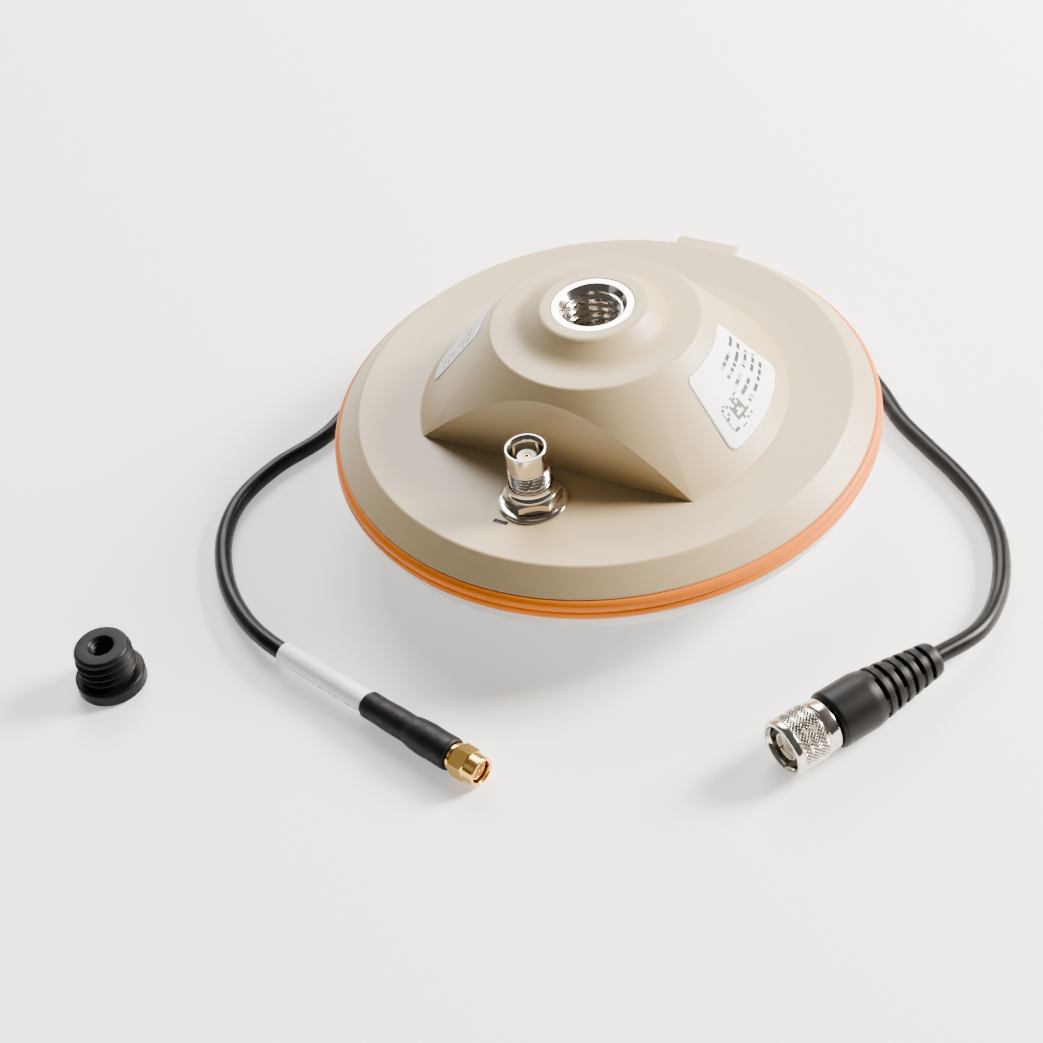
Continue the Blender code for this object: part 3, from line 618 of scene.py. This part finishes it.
def cone_sheet(name, centre, half, low, high):
    """Sheet that lies on the cone from height low to high, round to half degrees on both sides of
    centre. Its UV map is in millimetres from its middle. Also gives half its width and length."""
    foot_r, foot_z, corner = 51.0, 30.4, LABEL_CORNER
    slope = (foot_r - 28.8) / (56.3 - foot_z)
    per_height = math.hypot(1, slope)
    nr, nz = 1 / per_height, slope / per_height
    long = (high - low) * per_height
    wide = math.radians(half) * (foot_r - ((low + high) / 2 - foot_z) * slope)
    marks = [0.0]
    for k in range(1, 8):
        marks.append(corner * (1 - math.cos(math.radians(90 * k / 7))))
    marks += [corner + (long - 2 * corner) * k / 10 for k in range(1, 10)]
    marks += [long - m for m in reversed(marks[:8])]
    bm = bmesh.new()
    uv = bm.loops.layers.uv.new("UVMap")
    sides = []
    across = 32
    for off in (0.08, 0.3):
        grid = []
        for m in marks:
            edge = max(0.0, corner - min(m, long - m))
            reach = wide - (corner - math.sqrt(max(0.0, corner ** 2 - edge ** 2)))
            z = low + m / per_height
            r = foot_r - (z - foot_z) * slope + off * nr + 0.02
            line = []
            for s in range(across + 1):
                u = reach * (2.0 * s / across - 1.0)
                a = math.radians(centre + half * u / wide)
                x, y = r * math.cos(a), r * math.sin(a)
                line.append((bm.verts.new((x * MM, y * MM, (z + off * nz) * MM)), u, m))
            grid.append(line)
        sides.append(grid)

    def lay(corners):
        face = bm.faces.new([c[0] for c in corners])
        for loop, c in zip(face.loops, corners):
            loop[uv].uv = (c[1], c[2] - long / 2)

    n = len(marks)
    for grid in sides:
        for i in range(n - 1):
            for s in range(across):
                lay([grid[i][s], grid[i][s + 1], grid[i + 1][s + 1], grid[i + 1][s]])
    a, b = sides
    for i in range(n - 1):
        lay([a[i][0], a[i + 1][0], b[i + 1][0], b[i][0]])
        lay([a[i][across], b[i][across], b[i + 1][across], a[i + 1][across]])
    for s in range(across):
        lay([a[0][s], b[0][s], b[0][s + 1], a[0][s + 1]])
        lay([a[n - 1][s], a[n - 1][s + 1], b[n - 1][s + 1], b[n - 1][s]])
    bmesh.ops.recalc_face_normals(bm, faces=bm.faces[:])
    return as_object(bm, name), wide, long / 2


def printed_film(name, wide, tall, ground, ink, rows, columns, gap, code):
    """Gloss polyester film: a pale ground, a thin dark line just inside the edge, rows of short plain
    marks, and a block of random squares. Code is the middle of that block and half its width."""
    mat, tree, shader = new_finish(name, {"IOR": 1.5, "Roughness": 0.4, "Specular IOR Level": 0.25})
    where = add(tree, "ShaderNodeTexCoord")
    parts = add(tree, "ShaderNodeSeparateXYZ", {0: where.outputs["UV"]})
    known = {"u": parts.outputs[0], "v": parts.outputs[1]}
    chain(tree, known, [
        ("across", 'ABSOLUTE', "u"),
        ("past side", 'SUBTRACT', "across", wide - LABEL_CORNER),
        ("du", 'MAXIMUM', "past side", 0.0),
        ("upward", 'ABSOLUTE', "v"),
        ("past end", 'SUBTRACT', "upward", tall - LABEL_CORNER),
        ("dv", 'MAXIMUM', "past end", 0.0),
        ("du squared", 'MULTIPLY', "du", "du"),
        ("dv squared", 'MULTIPLY', "dv", "dv"),
        ("both", 'ADD', "du squared", "dv squared"),
        ("reach", 'SQRT', "both"),
        ("from edge", 'SUBTRACT', "reach", LABEL_CORNER),
        # A thin dark line painted 0.09 to 0.35 mm inside the edge, all the way round.
        ("border", 'COMPARE', "from edge", -0.22, 0.13),
        ("height", 'ADD', "v", tall),
        ("line", 'DIVIDE', "height", gap),
        ("row", 'FLOOR', "line"),
        ("in line", 'FRACT', "line"),
        ("in row", 'LESS_THAN', "in line", 0.42),
        ("stroke at", 'DIVIDE', "u", 0.55),
        ("stroke", 'FLOOR', "stroke at"),
        ("stroke key", "ShaderNodeCombineXYZ", "stroke", "row", 3.0),
        ("stroke chance", "ShaderNodeTexWhiteNoise", "stroke key"),
        ("inked", 'GREATER_THAN', "stroke chance", 0.32),
        ("marks", 'MULTIPLY', "in row", "inked"),
        ("past left", 'GREATER_THAN', "u", columns[0]),
        ("before right", 'LESS_THAN', "u", columns[1]),
        ("past foot", 'GREATER_THAN', "v", rows[0]),
        ("before top", 'LESS_THAN', "v", rows[1]),
        ("in columns", 'MULTIPLY', "past left", "before right"),
        ("in rows", 'MULTIPLY', "past foot", "before top"),
        ("printable", 'MULTIPLY', "in columns", "in rows"),
        ("print", 'MULTIPLY', "marks", "printable"),
        ("square u", 'DIVIDE', "u", 0.9),
        ("square v", 'DIVIDE', "v", 0.9),
        ("square left", 'FLOOR', "square u"),
        ("square foot", 'FLOOR', "square v"),
        ("square key", "ShaderNodeCombineXYZ", "square left", "square foot", 8.0),
        ("square chance", "ShaderNodeTexWhiteNoise", "square key"),
        ("filled", 'GREATER_THAN', "square chance", 0.52),
        ("near u", 'COMPARE', "u", code[0], code[2]),
        ("near v", 'COMPARE', "v", code[1], code[2]),
        ("in block", 'MULTIPLY', "near u", "near v"),
        ("block", 'MULTIPLY', "in block", "filled"),
        ("all print", 'ADD', "print", "block"),
        ("with border", 'ADD', "all print", "border"),
        ("inked part", "ShaderNodeClamp", "with border"),
    ])
    tone = add(tree, "ShaderNodeMix", {0: known["inked part"], 6: srgb(ground), 7: srgb(ink)},
               data_type='RGBA')
    tree.links.new(tone.outputs[2], shader.inputs["Base Color"])
    return mat


sheet, wide, tall = cone_sheet("label_right_film", 3.75, 22.5, 34.6, 52.6)
film = printed_film("printed_white_polyester", wide, tall, "F6F9FC", "101012",
                    (-6.5, 8.5), (-2.5, 13.5), 2.9, (-7.9, -4.4, 4.2))
fit(sheet, film, "antenna", "label_right")
sheet, wide, tall = cone_sheet("label_left_film", 180.0, 18.75, 34.6, 52.6)
film = printed_film("printed_silver_polyester", wide, tall, "DDE3E8", "5A6068",
                    (-9.0, 9.0), (-11.5, 11.5), 2.4, (6.0, 3.0, 3.0))
fit(sheet, film, "antenna", "label_left")

# ---------------------------------------------------------------- vent mark and rubber rings
# A black rubber membrane plug lies just below the face in a slot beside the jack. The base seal is a
# round cord ring between dome and base, and the jack has a flat ring under its flange.
# Nitrile rubber, moulded: brown black and dull, with bloom in patches of 1.1 mm.
rubber, tree, shader = new_finish("moulded_black_nitrile", {"IOR": 1.52, "Base Color": srgb("3A3229")})
where = add(tree, "ShaderNodeTexCoord")
grain = add(tree, "ShaderNodeTexNoise", {"Vector": where.outputs["Object"], "Scale": 900.0, "Detail": 3.0})
gloss = add(tree, "ShaderNodeMapRange", {0: grain.outputs[0], 1: 0.3, 2: 0.7, 3: 0.55, 4: 0.75})
tree.links.new(gloss.outputs[0], shader.inputs["Roughness"])
vent = block("vent_membrane", (-6.4, -55.6, 29.55), (-2.8, -54.5, 30.3), 0.25)
fit(set_down(vent), rubber, "antenna", "vent_mark")
ring_r, ring_z, thick = 72.8, 20.98, 0.78
section = []
for i in range(16):
    a = math.radians(22.5 * i)
    section.append((ring_r + thick * math.cos(a), ring_z + thick * math.sin(a)))
fit(set_down(turned("base_cord_ring", section, 144)), rubber, "antenna", "base_seal")
fit(seal, rubber, "antenna", "jack_seal")

# ---------------------------------------------------------------- electronics inside the shells
# Stacked ceramic patches under an aluminium plate, the amplifier board with its tinned can, brass
# pillars with their screws, and the short coax tail to the jack. None of it shows, so the solids
# of the frame are kept as they are and only get a finish.


def workshop_finish(name, dark, light, rough, metallic, scale, specular=0.5):
    """Plain finish whose colour wanders between two tones, scale times in a metre."""
    mat, tree, shader = new_finish(name, {
        "Roughness": rough, "Metallic": metallic, "Specular IOR Level": specular})
    where = add(tree, "ShaderNodeTexCoord")
    cloud = add(tree, "ShaderNodeTexNoise",
                {"Vector": where.outputs["Object"], "Scale": scale, "Detail": 4.0})
    tone = add(tree, "ShaderNodeMix", {0: cloud.outputs[0], 6: srgb(dark), 7: srgb(light)},
               data_type='RGBA')
    tree.links.new(tone.outputs[2], shader.inputs["Base Color"])
    return mat


inside = {
    "ground_plane": workshop_finish("rolled_aluminium_sheet", "A6A9AB", "B9BCBE", 0.35, 1.0, 60.0),
    "patch_lower": workshop_finish("fired_titanate_ceramic", "BFAE90", "CDBD9F", 0.6, 0.0, 120.0),
    "lna_board": workshop_finish("green_solder_mask", "184C2B", "215E38", 0.35, 0.0, 80.0),
    "shield_can": workshop_finish("tinned_steel_can", "A2A4A5", "B4B6B7", 0.3, 1.0, 90.0),
    "standoff_1": workshop_finish("turned_brass_pillar", "AF8B4C", "C09C5C", 0.28, 1.0, 200.0),
}
inside["patch_upper"] = inside["patch_lower"]
inside["jack_pigtail"] = pvc
for node_name in ("patch_screw", "standoff_2", "standoff_3", "standoff_4"):
    inside[node_name] = inside["standoff_1"]
for n in range(1, 5):
    inside["standoff_screw_%d" % n] = nickel
for node_name, finish in inside.items():
    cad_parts[node_name].data.materials.clear()
    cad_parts[node_name].data.materials.append(finish)

# ---------------------------------------------------------------- threaded plug
# The coupling nut is nickelled brass with a rolled diamond knurl between a plain lip and a plain
# collar. Inside it are the slotted collet, the white PTFE, the gold pin and a soft gasket.

# Small four-sided pyramids where two helices cross. Rise is the length of one of them.
knurl = push_tree("diamond_knurl", {"Teeth": 44.0, "Rise": 1.1 * MM, "Depth": 0.3 * MM}, [
    ("along", 'DIVIDE', "z", "Rise"),
    ("round", 'MULTIPLY', "turn", "Teeth"),
    ("right hand", 'ADD', "round", "along"),
    ("right phase", 'FRACT', "right hand"),
    ("right swing", 'MULTIPLY_ADD', "right phase", 2.0, -1.0),
    ("right ridge", 'ABSOLUTE', "right swing"),
    ("left hand", 'SUBTRACT', "round", "along"),
    ("left phase", 'FRACT', "left hand"),
    ("left swing", 'MULTIPLY_ADD', "left phase", 2.0, -1.0),
    ("left ridge", 'ABSOLUTE', "left swing"),
    ("pyramid", 'MINIMUM', "right ridge", "left ridge"),
    ("full", 'MULTIPLY', "pyramid", "Depth"),
    ("push", 'MULTIPLY', "full", "mark"),
])
coupling = turned("coupling_nut", [
    (6.35, 0.0, 0.3), (7.2, 0.0, 0.5), (7.6, 0.7, 0.4), (7.6, 2.0, 0.3), (7.15, 2.25, 0.1),
    (7.14, 2.4, 0, 1), (7.14, 9.6, 0, 1), (6.6, 9.9), (6.5, 10.3, 0.15), (7.1, 10.9, 0.4),
    (6.9, 13.8, 0.5), (4.9, 13.8), (4.9, 7.6), (5.85, 7.6), (5.85, 1.1), (6.2, 0.6, 0.2)], 440)
work(coupling, knurl, Teeth=44.0, Rise=1.03 * MM, Depth=0.4 * MM, Finish=nickel)
fit(set_down(coupling, THREAD_PLUG, THREAD_PLUG_BACK), nickel, "tnc_coupling", "tnc_nut")
collet = turned("plug_collet", [
    (3.2, 1.4, 0.1), (3.7, 1.4, 0.15), (3.9, 1.9, 0.15), (3.9, 5.2), (5.6, 5.2, 0.1),
    (5.6, 7.3, 0.1), (4.6, 7.3), (4.6, 19.0), (4.1, 19.3), (4.1, 26.2), (2.9, 26.2), (2.9, 19.0),
    (1.4, 19.0), (1.4, 12.4), (3.2, 12.4)], 96)
for k in range(4):
    saw = block("saw", (2.4, -0.22, 0.5), (4.6, 0.22, 5.1))
    saw.data.transform(Matrix.Rotation(math.radians(45 + 90 * k), 4, 'Z'))
    carve(collet, saw)
fit(set_down(collet, THREAD_PLUG, THREAD_PLUG_BACK), nickel, "lead", "tnc_body")
core = turned("plug_core", [
    (0.85, 6.0), (2.35, 6.0, 0.2), (2.35, 2.4, 0.15), (3.05, 2.4, 0.2), (3.05, 12.2), (0.85, 12.2)], 72)
fit(set_down(core, THREAD_PLUG, THREAD_PLUG_BACK), ptfe, "lead", "tnc_insulator")
pin = turned("plug_pin", [(0.0, 2.0), (0.28, 2.05, 0.1), (0.69, 3.3, 0.2), (0.69, 18.0), (0.0, 18.0)], 32)
fit(set_down(pin, THREAD_PLUG, THREAD_PLUG_BACK), gold, "lead", "tnc_pin")
# Silicone rubber, moulded: mid grey, dull.
silicone = workshop_finish("moulded_grey_silicone", "85827C", "93908A", 0.55, 0.0, 300.0)
gasket = turned("plug_gasket", [(4.05, 4.0, 0.2), (5.5, 4.0, 0.2), (5.5, 4.95, 0.2), (4.05, 4.95, 0.2)], 64)
fit(set_down(gasket, THREAD_PLUG, THREAD_PLUG_BACK), silicone, "lead", "tnc_gasket")

# ---------------------------------------------------------------- moulded boot
# Soft black PVC moulded over the cable and the crimp. The front is plain; the tail is slotted in
# six rings, an eighth of a turn apart from ring to ring, so that it bends and relieves the cable.
RINGS, RING_PITCH = 6, 3.15


def skin_at(z):
    """Radius of the tapered tail of the boot."""
    return 7.3 - 0.128 * (z - 27.6)


boot_outline = [(4.8, 14.4), (7.1, 14.4, 0.5), (7.75, 15.1, 0.7), (7.75, 25.6, 0.8), (7.3, 27.6, 0.5)]
for k in range(RINGS):
    low = 28.0 + RING_PITCH * k
    skin = skin_at(low)
    boot_outline += [(skin, low, 0.3), (skin - 0.6, low + 0.15, 0.1)]
    boot_outline += [(skin - 0.65, low + 1.1, 0.1), (skin - 0.15, low + 1.25, 0.35)]
boot_outline += [(4.75, 47.3, 0.6), (4.2, 48.3, 0.4), (2.58, 48.3, 0.2), (2.58, 26.6), (4.8, 26.6)]
boot = turned("strain_boot", boot_outline, 120)


def slot_ring(low, high, inner, outer, start, sweep):
    """Cutter for one slot: a sector of a ring about Z."""
    bm = bmesh.new()
    cuts = []
    for k in range(25):
        a = math.radians(start + sweep * k / 24.0)
        cuts.append([bm.verts.new((r * math.cos(a) * MM, r * math.sin(a) * MM, z * MM))
                     for r, z in ((inner, low), (outer, low), (outer, high), (inner, high))])
    for p, q in zip(cuts, cuts[1:]):
        for k in range(4):
            n = (k + 1) % 4
            bm.faces.new((p[k], q[k], q[n], p[n]))
    bm.faces.new(cuts[0])
    bm.faces.new(list(reversed(cuts[-1])))
    bmesh.ops.recalc_face_normals(bm, faces=bm.faces[:])
    return as_object(bm, "slot_ring")


for k in range(RINGS):
    low = 28.1 + RING_PITCH * k
    for side in range(4):
        start = 45.0 * (k % 2) + 90.0 * side + 8.0
        carve(boot, slot_ring(low, low + 1.15, skin_at(low) - 1.5, 9.0, start, 52.0))
# Soft PVC, moulded: near black and duller than the cable, its tone patchy over 4 mm.
boot_pvc = workshop_finish("moulded_black_pvc", "060607", "0A0A0B", 0.45, 0.0, 260.0, 0.15)
fit(set_down(boot, THREAD_PLUG, THREAD_PLUG_BACK), boot_pvc, "lead", "tnc_boot")

# ---------------------------------------------------------------- gold plug
# Small threaded plug, gold plated: a hexagon nut, 8 mm across flats, with a round nose. The real
# one has a 1/4-36 thread inside, left plain here. The heat-shrink starts right behind the hexagon.
nut = hexagon("gold_nut", 4.0, 3.05, 0.0, 4.8, [(3.97, 4.85), (3.97, 7.9), (3.7, 8.2), (3.35, 8.2)])
nut.data.transform(Matrix.Translation((0, 0, 8.2 * MM)) @ Matrix.Rotation(math.pi, 4, 'X'))
fit(set_down(nut, GOLD_PLUG, GOLD_PLUG_BACK), gold, "sma_coupling", "sma_nut")
shell = turned("gold_shell", [
    (2.1, 1.2, 0.1), (2.45, 1.2, 0.1), (2.45, 4.4), (3.0, 4.4), (3.0, 8.5), (3.7, 8.5, 0.15),
    (3.7, 9.4, 0.15), (2.7, 9.4), (2.7, 17.6), (1.1, 17.6), (1.1, 6.8), (2.1, 6.8)], 80)
fit(set_down(shell, GOLD_PLUG, GOLD_PLUG_BACK), gold, "lead", "sma_body")
core = turned("gold_plug_core", [(0.6, 2.4), (1.95, 2.4, 0.15), (1.95, 6.6), (0.6, 6.6)], 48)
fit(set_down(core, GOLD_PLUG, GOLD_PLUG_BACK), ptfe, "lead", "sma_insulator")
pin = turned("gold_plug_pin", [
    (0.0, 0.7), (0.18, 0.72, 0.05), (0.46, 1.3, 0.1), (0.46, 16.0), (0.0, 16.0)], 24)
fit(set_down(pin, GOLD_PLUG, GOLD_PLUG_BACK), gold, "lead", "sma_pin")

# ---------------------------------------------------------------- heat-shrink and marker sleeve
# Two layers of black polyolefin tube shrunk over the crimp, dull and slightly lumpy, then a white
# marker tube with a row of plain grey ticks.
shrunk = set_down(turned("shrunk_tube", [
    (3.0, 9.7), (4.2, 9.7, 0.4), (4.55, 10.4, 0.6), (4.45, 15.5, 1.5), (4.6, 18.5, 1.5),
    (4.3, 22.6, 0.8), (3.85, 24.4, 0.5), (3.9, 30.0, 2.0), (3.65, 35.5, 2.0), (3.75, 39.2, 0.25),
    (2.58, 39.2, 0.1), (2.58, 18.0), (3.0, 18.0)], 96), GOLD_PLUG, GOLD_PLUG_BACK)
# Polyolefin tube, heat-shrunk: black and dull, with lumps of 2.6 mm from what lies under it.
polyolefin, tree, shader = new_finish("shrunk_black_polyolefin", {
    "IOR": 1.5, "Base Color": srgb("08080A"), "Specular IOR Level": 0.18})
where = add(tree, "ShaderNodeTexCoord")
lumps = add(tree, "ShaderNodeTexNoise", {"Vector": where.outputs["Object"], "Scale": 380.0, "Detail": 3.0})
gloss = add(tree, "ShaderNodeMapRange", {0: lumps.outputs[0], 1: 0.3, 2: 0.7, 3: 0.42, 4: 0.6})
tree.links.new(gloss.outputs[0], shader.inputs["Roughness"])
bump = add(tree, "ShaderNodeBump", {"Height": lumps.outputs[0], "Strength": 0.35, "Distance": 0.0004})
tree.links.new(bump.outputs[0], shader.inputs["Normal"])
fit(shrunk, polyolefin, "lead", "sma_sleeve")
tube = set_down(turned("marker_tube", [
    (2.58, 40.2, 0.1), (3.1, 40.2, 0.2), (3.1, 70.8, 0.2), (2.58, 70.8, 0.1)], 80),
    GOLD_PLUG, GOLD_PLUG_BACK)
# PVC tube, printed: white with an even gloss, ticks 0.45 mm wide in one row along it.
marker, tree, shader = new_finish("white_pvc_marker_tube", {"IOR": 1.53, "Roughness": 0.4})
where = add(tree, "ShaderNodeTexCoord")
parts = add(tree, "ShaderNodeSeparateXYZ", {0: where.outputs["UV"]})
known = {"round": parts.outputs[0], "along": parts.outputs[1]}
chain(tree, known, [
    ("place", 'DIVIDE', "along", 0.45),
    ("cell", 'FLOOR', "place"),
    ("key", "ShaderNodeCombineXYZ", "cell", 5.0, 2.0),
    ("chance", "ShaderNodeTexWhiteNoise", "key"),
    ("kept", 'GREATER_THAN', "chance", 0.45),
    ("band", 'COMPARE', "round", 0.975, 0.02),
    ("ticks", 'MULTIPLY', "kept", "band"),
])
tone = add(tree, "ShaderNodeMix", {0: known["ticks"], 6: srgb("F4F4F2"), 7: srgb("4A4A4C")},
           data_type='RGBA')
tree.links.new(tone.outputs[2], shader.inputs["Base Color"])
fit(tube, marker, "lead", "marker_sleeve")

# ---------------------------------------------------------------- thread adapter
# Loose bush turned from aluminium and anodised black: a plain flange, a 5/8-11 thread
# outside and a 1/4-20 thread through the middle, both cut as helices.
bush = turned("thread_bush", [
    (8.9, 0.25, 0.3), (9.5, 0.8, 0.3), (9.5, 4.1, 0.35), (9.0, 4.6, 0.2), (6.7, 4.6, 0.3),
    (6.7, 5.3, 0, 1), (6.7, 12.9, 0, 1), (7.5, 13.3, 0.4), (7.5, 13.7, 0.4), (6.9, 14.5, 0.3),
    (3.6, 14.5, 0.2), (3.17, 14.0, 0, -1), (3.17, 0.7, 0, -1), (3.4, 0.25, 0.1)], 160)
# Anodised aluminium, dyed: black, a soft metallic gloss, tool rings 0.14 mm apart.
anodised, tree, shader = new_finish("black_anodised_aluminium", {
    "Base Color": srgb("08080A"), "Specular IOR Level": 0.12})
where = add(tree, "ShaderNodeTexCoord")
rings = add(tree, "ShaderNodeMapping", {0: where.outputs["UV"], 3: (2.0, 7.0, 1.0)})
tooling = add(tree, "ShaderNodeTexNoise", {"Vector": rings.outputs[0], "Scale": 1.0, "Detail": 2.0})
gloss = add(tree, "ShaderNodeMapRange", {0: tooling.outputs[0], 1: 0.3, 2: 0.7, 3: 0.36, 4: 0.5})
tree.links.new(gloss.outputs[0], shader.inputs["Roughness"])
bump = add(tree, "ShaderNodeBump", {"Height": tooling.outputs[0], "Strength": 0.1, "Distance": 0.00006})
tree.links.new(bump.outputs[0], shader.inputs["Normal"])
work(bush, helical, Pitch=2.309 * MM, Depth=1.2 * MM, From=5.3 * MM, To=13.4 * MM, Finish=anodised)
work(bush, helical, Pitch=1.27 * MM, Depth=-0.55 * MM, From=1.0 * MM, To=13.9 * MM, Side=-1.0,
     Finish=anodised)
fit(set_down(bush, (-94.4, -118.7, 0.0)), anodised, "adapter", "thread_adapter")
